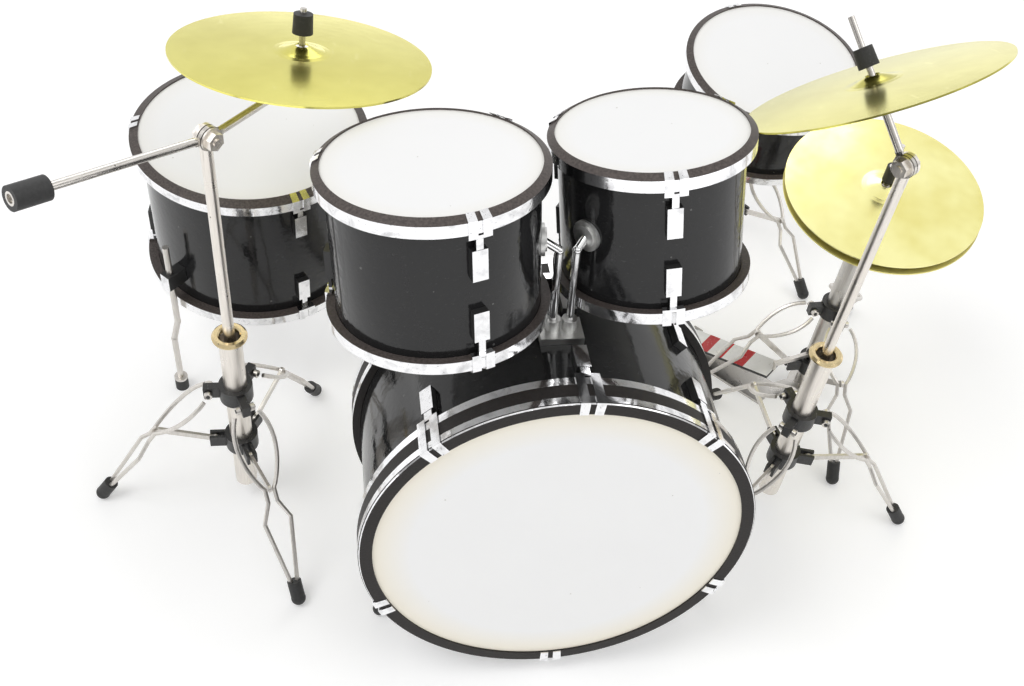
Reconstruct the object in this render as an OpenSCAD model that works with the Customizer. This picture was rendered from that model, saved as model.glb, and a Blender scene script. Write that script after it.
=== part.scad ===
/* [Bass drum] */
// Outer diameter of the bass shell
bass_d = 109; // [104:0.5:112]
// Depth over both bass hoops
bass_h = 60; // [52:1:70]
// Outer diameter of the bass hoops
bass_hoop_d = 114; // [113:0.5:118]
// Diameter of the visible bass head
bass_lip_d = 106; // [100:0.5:107]
// Width of a bass hoop along the drum
bass_hoop_w = 9.6; // [6:0.2:12]
// Backward tilt of the bass drum, which its spurs hold
bass_tilt = 6.3; // [4:0.1:8]

/* [Toms] */
// Shell diameter of the left tom
tom1_d = 53.8; // [50:0.2:55]
// Height of the left tom over both hoops
tom1_h = 45; // [40:0.5:48]
// Visible head diameter of the left tom
tom1_lip_d = 54.6; // [54.4:0.2:56]
// Hoop diameter of the left tom
tom1_hoop_d = 58.8; // [58:0.2:59.4]
// Shell diameter of the right tom
tom2_d = 49.4; // [46:0.2:50]
// Height of the right tom over both hoops
tom2_h = 44.5; // [40:0.5:48]
// Visible head diameter of the right tom
tom2_lip_d = 50.4; // [50.2:0.2:52]
// Hoop diameter of the right tom
tom2_hoop_d = 54.4; // [53.6:0.2:55]
// Diameter of the rods that carry the toms
arm_d = 2.2; // [1.6:0.1:2.6]
// Height of the tom rods above their sockets
arm_rise = 23; // [21:0.5:26]
// Distance of the left tom's shell from the bend of its rod
tom1_reach = 4.7; // [4.2:0.1:7]
// Distance of the right tom's shell from the bend of its rod
tom2_reach = 3.8; // [3.3:0.1:6]
// Upward slope of the rod's end where it enters a tom
arm_pitch = 36; // [20:1:40]

/* [Floor tom] */
// Shell diameter of the floor tom
floor_d = 72.4; // [66:0.2:73]
// Height of the floor tom over both hoops
floor_h = 56.7; // [48:0.5:62]
// Visible head diameter of the floor tom
floor_lip_d = 73; // [72.8:0.2:74]
// Hoop diameter of the floor tom
floor_hoop_d = 79; // [78:0.2:80]
// Height of the floor tom's lower rim above the floor
floor_lift = 39.5; // [34:0.5:46]

/* [Snare drum] */
// Shell diameter of the snare drum
snare_d = 63.6; // [60:0.2:64]
// Height of the snare drum over both hoops
snare_h = 33.4; // [26:0.2:38]
// Visible head diameter of the snare drum
snare_lip_d = 64; // [63.8:0.2:65]
// Hoop diameter of the snare drum
snare_hoop_d = 69; // [68:0.2:70]
// Tilt of the snare drum towards the front
snare_tilt = 7.6; // [0:0.2:10]
// Height of the snare drum's lower rim above the floor
snare_lift = 62; // [58:0.5:70]

/* [Drum parts] */
// Wall of every drum shell
shell_t = 1.6; // [1.2:0.1:2.2]
// Thickness of a drum head
head_t = 0.4; // [0.3:0.05:0.6]
// Thickness of the lip of a hoop over its head
lip_t = 0.6; // [0.5:0.05:0.9]
// Width of the bright band of a tom hoop along the drum
hoop_w = 4.6; // [3.6:0.1:5.4]
// Fall of the sloped black face of a tom hoop
hoop_slope = 1.3; // [0.8:0.1:1.8]
// Width of a lug box
lug_w = 4; // [3:0.1:5]
// Length of a lug box along the drum
lug_l = 8.5; // [6:0.1:9]
// Standing height of a lug box on its shell
lug_t = 2.2; // [1.6:0.1:2.6]

/* [Cymbals] */
// Diameter of the left crash cymbal
crash1_d = 72; // [64:1:73]
// Diameter of the right crash cymbal
crash2_d = 71; // [64:1:71]
// Diameter of the hi-hat cymbals
hat_d = 67; // [60:1:70]
// Sheet thickness of the cymbals
cymbal_t = 0.5; // [0.4:0.05:0.7]
// Rise of a cymbal's bell
bell_rise = 2; // [1.4:0.1:2.6]
// Rise of a cymbal from its edge to its bell
bow = 1.2; // [0.8:0.1:1.8]
// Gap between the edges of the two hi-hat cymbals
hat_gap = 1.8; // [1.6:0.1:4]
// Height of the upper hi-hat cymbal's edge
hat_z = 100; // [96:0.5:104]
// Diameter of the rods that carry the cymbals
rod_d = 1.8; // [1.4:0.1:2]

/* [Stands] */
// Height of the brass rings on the crash stands
ring_z = 80.5; // [76:0.5:86]
// Outer diameter of the lower tubes
tube_d = 7.2; // [6.6:0.1:7.8]
// Wall of the lower tubes
tube_t = 0.5; // [0.4:0.05:0.7]
// Outer diameter of the brass rings
ring_d = 10.8; // [9.6:0.1:12]
// Outer diameter of the upper tubes
upper_d = 3.4; // [3:0.1:4]
// Height of the left boom joint
left_joint_z = 156.2; // [150:0.5:162]
// Height of the right tilter joint
right_joint_z = 157.6; // [150:0.5:162]
// Reach of a tripod foot from its tube
leg_reach = 48.5; // [45:0.5:52]
// Diameter of the leg wire
wire_d = 1.5; // [1.3:0.1:1.7]
// Half width of the loop in a leg
loop_w = 6; // [4.6:0.1:6.4]
// Diameter of the rubber boots
boot_d = 4.8; // [4:0.1:5.2]

/* [Hidden] */
$fn = 64;
// Origin: middle of the plan, on the floor
mid = [6.1, 123.8];
fit = 0.05;
slip = 0.3;
black = [0.03, 0.03, 0.03];
chrome = [0.8, 0.8, 0.82];
satin = [0.62, 0.62, 0.6];
brass = [0.72, 0.64, 0.24];
white = [0.93, 0.92, 0.9];

// Places of the free-standing units on the floor
left_xy = [-93, 75];
right_xy = [91.4, 60.7];
hat_xy = [122.5, 115.5];
snare_xy = [108, 202];
floor_xy = [-87.8, 155];
// Tripods: place, directions of the legs, heights of the upper collar, lower collar and knee
left_set = [left_xy, [180, -69, 61], 55, 30.4, 36];
right_set = [right_xy, [-14.6, 101.4, 225.4], 50, 28.4, 34];
hat_set = [hat_xy, [-94, 182, 52], 43, 12, 31];
snare_set = [snare_xy, [-56, 64, 184], 41, 20, 28];

module place() {
  translate([-mid[0], -mid[1], 0]) children();
}

// Straight round bar between two points
module bar(a, b, r) {
  d = b - a;
  l = norm(d);
  translate(a)
    rotate([0, acos(d[2] / l), atan2(d[1], d[0])])
      cylinder(h = l, r = r);
}

module tube(h, r, ri) {
  difference() {
    cylinder(h = h, r = r);
    translate([0, 0, -1]) cylinder(h = h + 2, r = ri);
  }
}

// ---- swept wire -------------------------------------------------
function unit(v) = v / norm(v);
function along(p, i) = unit(p[min(i + 1, len(p) - 1)] - p[max(i - 1, 0)]);
function ring_at(p, i, r, n, up) =
  let (t = along(p, i), s = unit(cross(t, up)), v = cross(s, t))
  [for (k = [0 : n - 1]) p[i] + r * (cos(360 * k / n) * s + sin(360 * k / n) * v)];
module wire(p, r, n, up) {
  m = len(p);
  pts = [for (i = [0 : m - 1]) each ring_at(p, i, r, n, up)];
  sides = [for (i = [0 : m - 2], k = [0 : n - 1])
    let (a = i * n + k, b = i * n + (k + 1) % n)
    each [[a, b, b + n], [a, b + n, a + n]]];
  caps = [[for (k = [n - 1 : -1 : 0]) k], [for (k = [0 : n - 1]) (m - 1) * n + k]];
  polyhedron(points = pts, faces = concat(sides, caps), convexity = 6);
}

// ---- drums ------------------------------------------------------
// A drum stands on z = 0 with its axis up; v = [shell r, height, lip r, hoop r, band, slope]
bass = [bass_d / 2, bass_h, bass_lip_d / 2, bass_hoop_d / 2, bass_hoop_w, 0];
tom1 = [tom1_d / 2, tom1_h, tom1_lip_d / 2, tom1_hoop_d / 2, hoop_w, hoop_slope];
tom2 = [tom2_d / 2, tom2_h, tom2_lip_d / 2, tom2_hoop_d / 2, hoop_w, hoop_slope];
floor_tom = [floor_d / 2, floor_h, floor_lip_d / 2, floor_hoop_d / 2, hoop_w, hoop_slope];
snare = [snare_d / 2, snare_h, snare_lip_d / 2, snare_hoop_d / 2, hoop_w, hoop_slope];
rim = lip_t + head_t;
function bore_r(v) = v[0] + 2 * fit;
function head_r(v) = max(v[0] - 2 * fit, v[2] + 0.4);
function pocket_r(v) = max(bore_r(v), head_r(v) + fit);

module shell(v) {
  translate([0, 0, rim]) tube(v[1] - 2 * rim, v[0], v[0] - shell_t);
}
module head(v) {
  cylinder(h = head_t, r = head_r(v));
}
module heads(v) {
  translate([0, 0, lip_t]) head(v);
  translate([0, 0, v[1] - rim]) head(v);
}
function hoop_profile(v) = concat(
  [[v[2], 0], [v[3] - (v[5] == 0 ? 0.5 : 0), 0 + (v[5] == 0 ? 0 : v[5])], [v[3], v[5] == 0 ? 0.5 : v[5]],
   [v[3], v[4]], [bore_r(v), v[4]], [bore_r(v), rim]],
  pocket_r(v) > bore_r(v) ? [[pocket_r(v), rim]] : [],
  [[pocket_r(v), lip_t], [v[2], lip_t]]);
function tidy(p) = [for (i = [0 : len(p) - 1]) if (i == 0 || norm(p[i] - p[i - 1]) > 0.001) p[i]];
module hoop(v) {
  rotate_extrude($fn = 96) polygon(tidy(hoop_profile(v)));
}
module both_ends(v) {
  children();
  translate([0, 0, v[1]]) mirror([0, 0, 1]) children();
}
module hoops(v) {
  both_ends(v) hoop(v);
}
// One claw, its tension strip and its lug box, at the end z = 0, on the +X side
claw_t = 0.35;
module claw(v, w, gap) {
  o = v[3] + fit;
  s = v[5];
  a = 2 * asin(w / 2 / v[3]);
  g = asin((gap + w) / 2 / v[3]);
  prof = s == 0
    ? [[v[2], -claw_t], [o + claw_t, -claw_t], [o + claw_t, v[4] + 1.2], [o, v[4] + 1.2], [o, -fit], [v[2], -fit]]
    : [[v[2] + 0.3, -claw_t], [o + claw_t, s - claw_t], [o + claw_t, v[4] + 1.2], [o, v[4] + 1.2],
       [o, s], [v[2] + 0.3, -fit]];
  for (m = [-1, 1])
    rotate([0, 0, m * g - a / 2]) rotate_extrude(angle = a, $fn = 96) polygon(prof);
  // cross piece behind the band, where the strip starts
  b = asin((gap + 2 * w) / 2 / v[3]);
  rotate([0, 0, -b])
    rotate_extrude(angle = 2 * b, $fn = 96)
      translate([v[0] + 1.1, v[4] + 0.35]) square([o + claw_t - v[0] - 1.2, 0.7]);
}
module lug(v, w, gap, strip_w, first) {
  claw(v, w, gap);
  translate([v[0] + 1.2, -strip_w / 2, v[4] + 0.8]) cube([0.9, strip_w, first - v[4] - 0.4]);
  difference() {
    translate([v[0] - 1, -lug_w / 2, first]) cube([lug_t + 1, lug_w, lug_l]);
    translate([0, 0, -1]) cylinder(h = v[1], r = v[0] + fit, $fn = 96);
  }
}
module lugs(v, turns, w = 2.3, gap = 1.3, strip_w = 1.8, first = 9.4) {
  for (a = turns) rotate([0, 0, a]) both_ends(v) lug(v, w, gap, strip_w, first);
}
function thirds(a) = [a, a + 120, a + 240];

// ---- bass drum --------------------------------------------------
bass_r = bass_hoop_d / 2;
// Directions of the claws, measured from the top towards the right
bass_claws = [3, 42, 115, 177, 244, 318];
bass_lift = claw_t + fit;
// Frame of the bass drum: x across, y from its front hoop backwards, z up from its rim
module bass_frame() {
  place() translate([0, 0, bass_lift + bass_h * sin(bass_tilt)]) rotate([-bass_tilt, 0, 0]) children();
}
module bass_axis() {
  bass_frame() translate([0, 0, bass_r]) rotate([-90, 0, 0]) children();
}
module bass_shell() {
  color(black) bass_axis() shell(bass);
}
module bass_hoops() {
  color(black) bass_axis() hoops(bass);
}
module bass_heads() {
  color(white) bass_axis() heads(bass);
}
module bass_lugs() {
  color(chrome) {
    bass_axis() lugs(bass, [for (a = bass_claws) a - 90], 2.6, 1.6, 2.6, 14);
    bass_frame() for (m = [-1, 1]) difference() {
      translate([m * (spur_x - 1.7) - (m > 0 ? 8 : 0), spur_y - 2.8, spur_h - 2.8]) cube([8, 5.6, 5.6]);
      translate([0, -1, bass_r]) rotate([-90, 0, 0]) cylinder(h = bass_h + 2, r = bass[0] + fit, $fn = 96);
      translate([m * spur_x, spur_y, spur_h]) rotate([0, -90 * m, 0]) cylinder(h = 12, r = 0.8 + fit);
    }
  }
}

// Tom holder: a saddle plate on the shell with two sockets
mount_x = -1;
mount_y = bass_h / 2 - 0.4;
socket_gap = 4.6;
rod_lean = 1.5;
plate_w = 12;
plate_l = 9;
plate_t = 2;
socket_h = 3.6;
socket_r = 2.1;
plate_z = bass_r + bass[0] + plate_t;
// Frame of a tom's rod: its foot on the plate, the rod along z
module rod_frame(m) {
  translate([mount_x + m * socket_gap / 2, mount_y, plate_z]) rotate([0, -rod_lean, 0]) children();
}
module tom_mount() {
  color(chrome) bass_frame() difference() {
    union() {
      translate([mount_x - plate_w / 2, mount_y - plate_l / 2, plate_z - plate_t - 1])
        cube([plate_w, plate_l, plate_t + 1]);
      for (m = [-1, 1]) rod_frame(m) translate([0, 0, -0.5]) cylinder(h = socket_h + 0.5, r = socket_r);
    }
    for (m = [-1, 1]) rod_frame(m) translate([0, 0, 0.6]) cylinder(h = socket_h, r = arm_d / 2 + fit);
    translate([0, -1, bass_r]) rotate([-90, 0, 0]) cylinder(h = bass_h, r = bass[0] + fit, $fn = 96);
  }
}

// Each tom hangs on a bent rod. t = [side, lean direction, lean, turn, drum, reach, depth of the rod's bend]
tom1_set = [-1, 110.1, 12, 63.9, tom1, tom1_reach, 27];
tom2_set = [1, 117.35, 15.2, -81, tom2, tom2_reach, 24];
bend_h = socket_h + arm_rise;
// World point of a place in the bass frame
function bass_point(p) = [p[0],
  p[1] * cos(bass_tilt) + p[2] * sin(bass_tilt),
  bass_lift + bass_h * sin(bass_tilt) - p[1] * sin(bass_tilt) + p[2] * cos(bass_tilt)];
function bend_point(t) = bass_point([mount_x + t[0] * socket_gap / 2 - bend_h * sin(rod_lean), mount_y,
  plate_z + bend_h * cos(rod_lean)]);
module tom_frame(t) {
  place() translate(bend_point(t)) rotate([0, 0, t[1]]) rotate([0, t[2], 0]) rotate([0, 0, t[3]]) children();
}
// The tom's own frame: its axis at x = 0, its lower rim at z = 0
module tom_axis(t) {
  tom_frame(t) translate([t[5] + t[4][0], 0, t[6] - t[4][1]]) children();
}
// The end of the rod, which slopes up into the tom
module arm_end(t, r, extra) {
  rotate([0, 90 - arm_pitch, 0]) cylinder(h = t[5] / cos(arm_pitch) + extra, r = r);
}
function entry_z(t) = t[5] * tan(arm_pitch);
module arm(t) {
  color(satin) {
    bass_frame() rod_frame(t[0]) translate([0, 0, 0.8]) cylinder(h = bend_h - 0.8, r = arm_d / 2);
    tom_frame(t) sphere(r = arm_d / 2 + 0.12, $fn = 48);
    tom_frame(t) arm_end(t, arm_d / 2, shell_t + 2.5);
  }
}
flange_r = 4.3;
module flange(t) {
  color(satin) tom_frame(t) difference() {
    union() {
      translate([t[5] - 0.8, 0, entry_z(t)]) rotate([0, 90, 0]) cylinder(h = 2, r = flange_r);
      translate([t[5] - 1.3, 0, entry_z(t)]) rotate([0, 90, 0]) cylinder(h = 1, r = flange_r - 1.2);
    }
    arm_end(t, arm_d / 2 + fit, 5);
    translate([t[5] + t[4][0], 0, -9]) cylinder(h = 24, r = t[4][0] + fit, $fn = 96);
  }
}
module tom_shell(t) {
  color(black) difference() {
    tom_axis(t) shell(t[4]);
    tom_frame(t) arm_end(t, arm_d / 2 + slip, 5);
  }
}
module tom1_shell() { tom_shell(tom1_set); }
module tom2_shell() { tom_shell(tom2_set); }
module tom1_hoops() { color(black) tom_axis(tom1_set) hoops(tom1); }
module tom2_hoops() { color(black) tom_axis(tom2_set) hoops(tom2); }
module tom1_heads() { color(white) tom_axis(tom1_set) heads(tom1); }
module tom2_heads() { color(white) tom_axis(tom2_set) heads(tom2); }
module tom1_lugs() { color(chrome) tom_axis(tom1_set) lugs(tom1, thirds(113.5)); }
module tom2_lugs() { color(chrome) tom_axis(tom2_set) lugs(tom2, thirds(234)); }
module tom1_flange() { flange(tom1_set); }
module tom2_flange() { flange(tom2_set); }
module tom1_arm() { arm(tom1_set); }
module tom2_arm() { arm(tom2_set); }

// Spurs: a bracket on each side of the shell and a folding rod with a rubber ball
spur_y = 26;
spur_a = 35;
spur_r = 1.1;
spur_x = bass_r * cos(spur_a) + 2.9;
spur_foot = [0, -4.4];
ball_r = 2.2;
spur_h = bass_r - (bass[0] + 1.5) * sin(spur_a);
spur_top = bass_point([0, spur_y, spur_h]);
module spur(m) {
  top = [m * spur_x, spur_top[1], spur_top[2]];
  foot = [m * spur_x, spur_top[1] + spur_foot[1], ball_r];
  color(satin) place() {
    bar(top, foot, spur_r);
    translate(foot) sphere(r = ball_r, $fn = 48);
    translate(top) rotate([0, 90, 0]) cylinder(h = 2.6, r = 1.9, center = true);
    translate(top) rotate([0, -90 * m, 0]) cylinder(h = 3.6, r = 0.8);
  }
}
module spur_left() { spur(-1); }
module spur_right() { spur(1); }

// ---- floor tom --------------------------------------------------
module floor_axis() {
  place() translate([floor_xy[0], floor_xy[1], floor_lift]) children();
}
module floor_shell() { color(black) floor_axis() shell(floor_tom); }
module floor_hoops() { color(black) floor_axis() hoops(floor_tom); }
module floor_heads() { color(white) floor_axis() heads(floor_tom); }
floor_leg_r = 1.1;
floor_leg_at = floor_hoop_d / 2 + 1.9;
clamp_z = 12;
clamp_h = 6;
floor_leg_turn = -134;
module floor_lugs() {
  color(chrome) floor_axis() {
    lugs(floor_tom, thirds(55));
    for (i = [0 : 2]) rotate([0, 0, floor_leg_turn + i * 120]) difference() {
      translate([floor_d / 2 - 1, -2, clamp_z]) cube([floor_leg_at - floor_d / 2 + 3.4, 4, clamp_h]);
      translate([floor_leg_at, 0, 0]) cylinder(h = 40, r = floor_leg_r + fit);
      cylinder(h = 60, r = floor_d / 2 + fit, $fn = 96);
    }
  }
}
module floor_legs() {
  kink_z = floor_lift - 6;
  color(satin) place() translate([floor_xy[0], floor_xy[1], 0])
    for (i = [0 : 2]) rotate([0, 0, floor_leg_turn + i * 120]) {
      translate([floor_leg_at, 0, kink_z]) cylinder(h = floor_lift + 30 - kink_z, r = floor_leg_r);
      translate([floor_leg_at, 0, kink_z]) sphere(r = floor_leg_r + 0.12, $fn = 32);
      bar([floor_leg_at, 0, kink_z], [floor_leg_at + 2.6, 0, kink_z - 7], floor_leg_r);
      translate([floor_leg_at + 2.6, 0, kink_z - 7]) sphere(r = floor_leg_r + 0.12, $fn = 32);
      translate([floor_leg_at + 2.6, 0, 4]) cylinder(h = kink_z - 11, r = floor_leg_r);
      translate([floor_leg_at + 2.6, 0, 0]) cylinder(h = 6, r = boot_d / 2);
    }
}

// ---- tripods ----------------------------------------------------
tube_r = tube_d / 2;
hang_r = 8.5;
pin_r = 0.6;
wire_r = wire_d / 2;
pinch_r = 27;
pinch_w = 1.5;
eye_y = 2.3;
leg_tip = 6.4;
function hang(k) = [hang_r, 0, k[2]];
function knee(k) = [pinch_r, 0, k[4]];
function leg_dir(k) = unit([leg_reach, 0, boot_d / 2] - knee(k));
function leg_end(k) = [leg_reach, 0, boot_d / 2] - leg_tip * leg_dir(k);
// Half width of the two strands along the upper loop and along the shin
function loop_half(u) = eye_y * (1 - u) + pinch_w * u + (loop_w - 1.9) * pow(sin(180 * pow(u, 0.85)), 0.8);
shin = [[0, pinch_w], [0.14, pinch_w], [0.34, loop_w * 0.72], [1, 1.1]];
function strand(k, m) = concat(
  [for (i = [0 : 10]) let (u = 0.07 + 0.89 * i / 10)
    hang(k) + u * (knee(k) - hang(k)) + [0, m * loop_half(u), 0]],
  [for (q = shin) knee(k) + q[0] * (leg_end(k) - knee(k)) + [0, m * q[1], 0]]);
// One leg in the plane y = 0: two strands of wire, eyes at the top and a rubber boot
module leg(k) {
  up = unit(cross([0, 1, 0], leg_end(k) - hang(k)));
  color(satin) for (m = [-1, 1]) {
    wire(strand(k, m), wire_r, 8, up);
    translate(hang(k) + [0, m * eye_y, 0]) rotate([90, 0, 0]) tube_c(1.3, 1.3, pin_r + fit);
  }
  color(black) {
    bar([leg_reach, 0, boot_d / 2], leg_end(k) + 0.02 * leg_dir(k), boot_d / 2 - 0.1);
    translate([leg_reach, 0, boot_d / 2]) sphere(r = boot_d / 2, $fn = 48);
  }
}
module tube_c(h, r, ri) {
  translate([0, 0, -h / 2]) tube(h, r, ri);
}
// One flat brace from the lower collar to the knee of a leg
brace_t = 1;
module brace(k) {
  d = knee(k) - [hang_r, 0, k[3]];
  l = norm(d);
  color(satin) translate([hang_r, 0, k[3]]) rotate([0, -atan2(d[2], d[0]), 0]) rotate([90, 0, 0])
    translate([0, 0, -brace_t / 2]) linear_extrude(brace_t) difference() {
      union() {
        circle(r = 1.5, $fn = 32);
        translate([0, -1]) square([l, 2]);
        translate([l, 0]) circle(r = 1.25, $fn = 32);
      }
      circle(r = pin_r + fit, $fn = 32);
    }
}
// Collar with one arm per leg; fork = true leaves a slot for a brace
module collar(r, turns, fork) {
  difference() {
    union() {
      translate([0, 0, -3]) cylinder(h = 6, r = r + 1.7);
      for (a = turns) rotate([0, 0, a]) {
        if (fork)
          for (m = [-1, 1]) translate([0, m * 1.25 - 0.5, -2.2]) cube([hang_r + 1.7, 1, 4.4]);
        else
          translate([0, -1.3, -2.2]) cube([hang_r + 1.6, 2.6, 4.4]);
      }
    }
    translate([0, 0, -4]) cylinder(h = 8, r = r + fit);
    if (fork) for (a = turns) rotate([0, 0, a]) translate([r + 2.2, -0.75, -3]) cube([9, 1.5, 6]);
  }
  // hinge pins through the arms
  for (a = turns) rotate([0, 0, a]) translate([hang_r, 0, 0]) rotate([90, 0, 0])
    cylinder(h = fork ? 3.4 : 6.4, r = pin_r, center = true);
}
module at(xy, z = 0) {
  place() translate([xy[0], xy[1], z]) children();
}
module tripod_collars(k) {
  at(k[0], k[2]) collar(tube_r, k[1], false);
  at(k[0], k[3]) collar(tube_r, k[1], true);
}
module stand_collars() {
  color(black) {
    at(left_xy, left_set[2]) collar(tube_r, left_set[1], false);
    tripod_collars(right_set);
    tripod_collars(hat_set);
    tripod_collars(snare_set);
  }
}
module legs(k) {
  at(k[0]) for (a = k[1]) rotate([0, 0, a]) {
    leg(k);
    brace(k);
  }
}
tube_foot = 8;
module lower_tube() {
  color(satin) {
    translate([0, 0, tube_foot]) tube(ring_z - 1.2 - tube_foot, tube_r, tube_r - tube_t);
    // guide for the upper tube, deep below the ring
    translate([0, 0, ring_z - 14]) difference() {
      cylinder(h = 5, r = tube_r - tube_t);
      translate([0, 0, -1]) cylinder(h = 7, r = upper_d / 2 + fit);
    }
  }
}
module ring() {
  color(brass) translate([0, 0, ring_z - 1.2]) rotate_extrude() polygon([
    [tube_r - tube_t, 0], [ring_d / 2 - 0.6, 0], [ring_d / 2, 0.6], [ring_d / 2, 1.1], [ring_d / 2 - 0.7, 1.8],
    [tube_r - tube_t + 0.5, 1.8], [tube_r - tube_t, 1.3]]);
}
module tube_rings() {
  at(left_xy) ring();
  at(right_xy) ring();
}
module left_tube() { at(left_xy) lower_tube(); }
module right_tube() { at(right_xy) lower_tube(); }
module left_slider() { color(black) at(left_xy, left_set[3]) collar(tube_r, left_set[1], true); }
module left_leg(i) { at(left_xy) rotate([0, 0, left_set[1][i]]) leg(left_set); }
module left_brace(i) { at(left_xy) rotate([0, 0, left_set[1][i]]) brace(left_set); }
module left_leg_a() { left_leg(0); }
module left_leg_b() { left_leg(1); }
module left_leg_c() { left_leg(2); }
module left_brace_a() { left_brace(0); }
module left_brace_b() { left_brace(1); }
module left_brace_c() { left_brace(2); }
module right_legs() { legs(right_set); }
module hat_legs() { legs(hat_set); }

// ---- crash stands -----------------------------------------------
bolt_r = 1.1;
ear_t = 1.1;
ear_r = 3.4;
// Upper tube with a flattened top and the joint bolt; turn is the direction of the bolt
module upper(joint_z, turn) {
  color(satin) {
    translate([0, 0, ring_z - 34]) cylinder(h = joint_z - ear_r - ring_z + 34, r = upper_d / 2);
    translate([0, 0, joint_z]) rotate([0, 0, turn]) rotate([0, 90, 0]) {
      cylinder(h = ear_t, r = ear_r, center = true);
      translate([0, 0, ear_t / 2 - 0.1]) cylinder(h = 4.4, r = bolt_r);
      translate([0, 0, -ear_t / 2 - 1.5]) cylinder(h = 1.6, r = 2.4, $fn = 6);
      translate([0, 0, ear_t / 2 + slip + ear_t + 0.15]) cylinder(h = 0.5, r = 3.2);
      translate([0, 0, ear_t / 2 + slip + ear_t + 0.6]) cylinder(h = 1.9, r = 2.6, $fn = 6);
    }
    translate([0, 0, joint_z - ear_r - 4]) rotate([0, 0, turn])
      translate([-ear_t / 2, -upper_d / 2, 0]) cube([ear_t, upper_d, 5]);
  }
}
left_bolt = -43.3;
right_bolt = -146.6;
module left_upper() { at(left_xy) upper(left_joint_z, left_bolt); }
module right_upper() { at(right_xy) upper(right_joint_z, right_bolt); }
// The boom lies beside the flattened post, on the bolt's side
boom_off = ear_t + slip;
boom_up = [cos(55.4) * cos(8.2), sin(55.4) * cos(8.2), -sin(8.2)];
boom_back = [-cos(41.5) * cos(12), -sin(41.5) * cos(12), sin(12)];
boom_r = 1.15;
boom_l = 40.6;
boom_tail = 54;
weight_l = 9.2;
weight_r = 3.1;
left_joint = [left_xy[0] + boom_off * cos(left_bolt), left_xy[1] + boom_off * sin(left_bolt), left_joint_z];
cymbal1_n = [0.079, 0.253, 0.964];
cymbal2_n = [-0.333, 0.505, 0.796];
tilter_n = [-0.361, 0.66, 0.659];
hat_n = [-0.046, -0.119, 0.992];
module to_axis(n) {
  rotate([0, acos(n[2] / norm(n)), atan2(n[1], n[0])]) children();
}
module eye(turn) {
  rotate([0, 0, turn]) rotate([0, 90, 0]) tube_c(ear_t, ear_r, bolt_r + fit);
}
// A cymbal lies on its edge on z = 0, with its hole on the axis
cymbal_hole = 1.9;
bell_r = 8;
seat_r = 1.5;
seat_gap = 0.45;
function bell_z(r, rr) = r < bell_r
  ? bow + bell_rise * (0.5 + 0.5 * cos(180 * r / bell_r))
  : bow * (1 - pow((r - bell_r) / (rr - bell_r), 1.6));
cymbal_h = bell_z(cymbal_hole, 30);
module cymbal(d) {
  rr = d / 2;
  rs = concat([cymbal_hole, 2.9, 4, 5.2, 6.4], [for (i = [0 : 8]) bell_r + (rr - bell_r) * i / 8]);
  rotate_extrude($fn = 96) polygon(concat(
    [for (r = rs) [r, bell_z(r, rr)]],
    [for (i = [len(rs) - 1 : -1 : 0]) [rs[i], bell_z(rs[i], rr) + cymbal_t]]));
}
// Rod for a cymbal whose edge plane lies at height h, with a seat under its bell
module cymbal_rod(h, top) {
  cylinder(h = top, r = rod_d / 2);
  translate([0, 0, h + cymbal_h - seat_gap - 2]) cylinder(h = 2, r1 = seat_r + 0.3, r2 = rod_d / 2 + 0.1);
}
sleeve_r = 2.85;
sleeve_h = 5.4;
sleeve_gap = 3.4;
module sleeve(h) {
  color(black) translate([0, 0, h + cymbal_h + cymbal_t + sleeve_gap]) difference() {
    cylinder(h = sleeve_h, r1 = sleeve_r, r2 = sleeve_r - 0.2);
    translate([0, 0, -1]) cylinder(h = sleeve_h + 2, r = rod_d / 2);
  }
}
boom_end = left_joint + boom_l * boom_up;
cymbal1_h = 6.3;
module left_on_axis() {
  place() translate(boom_end) to_axis(cymbal1_n) children();
}
// Flattened neck between the eye of a joint and its rod: it points along d, turned into the eye's plane
module tongue(at_point, d, turn) {
  translate(at_point) rotate([0, -asin(d[2] / norm(d)), turn])
    translate([ear_r - 0.4, -0.4, -1.1]) cube([1.6, 0.8, 2.2]);
}
module left_boom() {
  color(satin) {
    place() {
      translate(left_joint) eye(left_bolt);
      tongue(left_joint, boom_up, left_bolt + 90);
      tongue(left_joint, boom_back, left_bolt - 90);
      bar(left_joint + (ear_r + 0.7) * boom_up, boom_end, boom_r);
      bar(left_joint + (ear_r + 0.7) * boom_back, left_joint + boom_tail * boom_back, boom_r);
      translate(boom_end) sphere(r = boom_r + 0.7, $fn = 48);
    }
    left_on_axis() cymbal_rod(cymbal1_h, 20);
  }
}
module left_weight() {
  color(black) place() translate(left_joint + (boom_tail - weight_l + 1) * boom_back)
    to_axis(boom_back) tube(weight_l, weight_r, boom_r);
}
module left_cymbal() { color(brass) left_on_axis() translate([0, 0, cymbal1_h]) cymbal(crash1_d); }
module left_sleeve() { left_on_axis() sleeve(cymbal1_h); }
right_joint = [right_xy[0] + boom_off * cos(right_bolt), right_xy[1] + boom_off * sin(right_bolt), right_joint_z];
cymbal2_h = 22.3;
module right_on_axis() {
  place() translate(right_joint) to_axis(tilter_n) children();
}
module right_tilter() {
  color(satin) {
    place() {
      translate(right_joint) eye(right_bolt);
      tongue(right_joint, tilter_n, right_bolt - 90);
    }
    right_on_axis() {
      translate([0, 0, ear_r + 0.7]) cylinder(h = cymbal2_h - 6 - ear_r, r = boom_r);
      translate([0, 0, ear_r + 0.7]) cymbal_rod(cymbal2_h - ear_r - 0.7, 41.3 - ear_r);
    }
  }
}
// The right cymbal rests askew on its rod; it turns about the middle of its hole
module right_cymbal() {
  h = cymbal2_h + cymbal_h;
  color(brass) place() translate(right_joint + h * tilter_n / norm(tilter_n))
    to_axis(cymbal2_n) translate([0, 0, -cymbal_h]) cymbal(crash2_d);
}
module right_sleeve() { right_on_axis() sleeve(cymbal2_h - 1.2); }

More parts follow.
